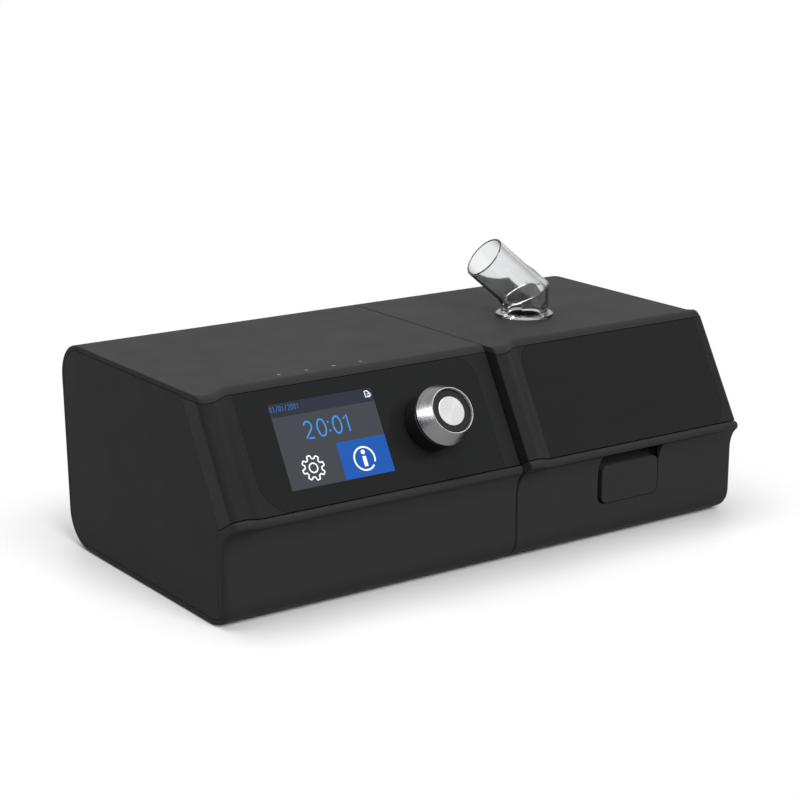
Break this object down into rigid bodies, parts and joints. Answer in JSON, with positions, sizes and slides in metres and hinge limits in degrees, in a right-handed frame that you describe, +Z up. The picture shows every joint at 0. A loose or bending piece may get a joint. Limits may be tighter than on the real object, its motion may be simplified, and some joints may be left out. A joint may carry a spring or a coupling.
{
  "type": "bilevel pap machine",
  "caption": "Bedside breathing machine with a slanted screen and knob front, docked humidifier with hinged lid, release button and swivelling clear outlet elbow.",
  "frame": {"origin": "middle of the outline on the floor: halfway along both modules and halfway between the rear face and the nose of the lip, at the underside of the feet", "axes": "+X from the main module towards the humidifier, +Y from the slanted front towards the rear, +Z up"},
  "size_m": [0.2906, 0.1587, 0.1371],
  "materials": {
    "matte_case": "fine matte texture",
    "gloss_panel": "high gloss",
    "screen_glass": "glossy",
    "circuit_board": "satin",
    "knob_black": "satin",
    "knob_metal": "turned and brushed",
    "light_pipe": "satin",
    "inner_plastic": "satin",
    "white_plastic": "satin",
    "card_plastic": "satin",
    "steel": "brushed",
    "rubber": "matte",
    "foam": "open foam",
    "clear_plastic": "clear",
    "heater_metal": "satin",
    "heater_film": "satin"
  },
  "bodies": {
    "machine": {"main_top_cover": "matte_case", "main_base": "matte_case", "end_panel": "matte_case", "port_wall": "inner_plastic", "main_fascia": "matte_case", "control_panel": "gloss_panel", "screen_module": "screen_glass", "display_board": "circuit_board", "knob_collar": "knob_black", "encoder_ring": "inner_plastic", "status_lights": "light_pipe", "main_board": "circuit_board", "power_inlet": "inner_plastic", "card_slot": "steel", "blower_base": "inner_plastic", "blower_cover": "inner_plastic", "blower_motor": "steel", "blower_mounts": "rubber", "intake_box": "inner_plastic", "air_filter": "foam", "outlet_duct": "inner_plastic", "port_seal": "rubber", "dock_contacts": "steel", "dock_pins": "steel", "case_screws": "steel", "main_feet": "rubber", "hum_base": "matte_case", "water_tub": "clear_plastic", "tub_lid": "clear_plastic", "tub_seal": "rubber", "heater_plate": "heater_metal", "heater_element": "heater_film", "heater_frame": "inner_plastic", "heater_screws": "steel", "dock_board": "circuit_board", "hum_feet": "rubber"},
    "push_post": {"knob_post": "steel"},
    "knob": {"knob_shell": "knob_metal", "knob_core": "knob_black", "knob_cap": "knob_metal"},
    "lid": {"lid_frame": "matte_case", "lid_fascia": "matte_case", "lid_panel": "gloss_panel", "hinge_pins": "steel", "elbow_socket": "inner_plastic", "outlet_seal": "rubber"},
    "elbow": {"outlet_elbow": "clear_plastic"},
    "button": {"release_button": "matte_case"},
    "rotor": {"impeller": "white_plastic"},
    "card": {"memory_card": "card_plastic"},
    "flap": {"filter_cover": "matte_case"}
  },
  "joints": [
    {"name": "knob_push", "type": "slide", "parent": "machine", "child": "push_post", "axis": [0, 0.866, -0.5], "range_m": [0, 0.001], "stiffness_N_per_m": 1500},
    {"name": "knob_turn", "type": "hinge", "parent": "push_post", "child": "knob", "pos_m": [-0.0327, -0.07154, 0.07951], "axis": [0, -0.866, 0.5], "continuous": true},
    {"name": "lid_hinge", "type": "hinge", "parent": "machine", "child": "lid", "pos_m": [0.0775, 0.0733, 0.0818], "axis": [-1, 0, 0], "range_deg": [0, 90]},
    {"name": "elbow_turn", "type": "hinge", "parent": "lid", "child": "elbow", "pos_m": [0.0657, -0.0014, 0.0984], "axis": [0, 0, 1], "continuous": true},
    {"name": "release_press", "type": "slide", "parent": "machine", "child": "button", "axis": [0, 1, 0], "range_m": [0, 0.002], "stiffness_N_per_m": 900},
    {"name": "impeller_spin", "type": "hinge", "parent": "machine", "child": "rotor", "pos_m": [-0.0623, 0.018, 0.04995], "axis": [0, 0, 1], "continuous": true},
    {"name": "card_slide", "type": "slide", "parent": "machine", "child": "card", "axis": [0, 0.9988, -0.048], "range_m": [0, 0.012]},
    {"name": "filter_hinge", "type": "hinge", "parent": "machine", "child": "flap", "pos_m": [-0.1083, 0.07368, 0.02692], "axis": [-1, 0, 0], "range_deg": [0, 80]}
  ]
}
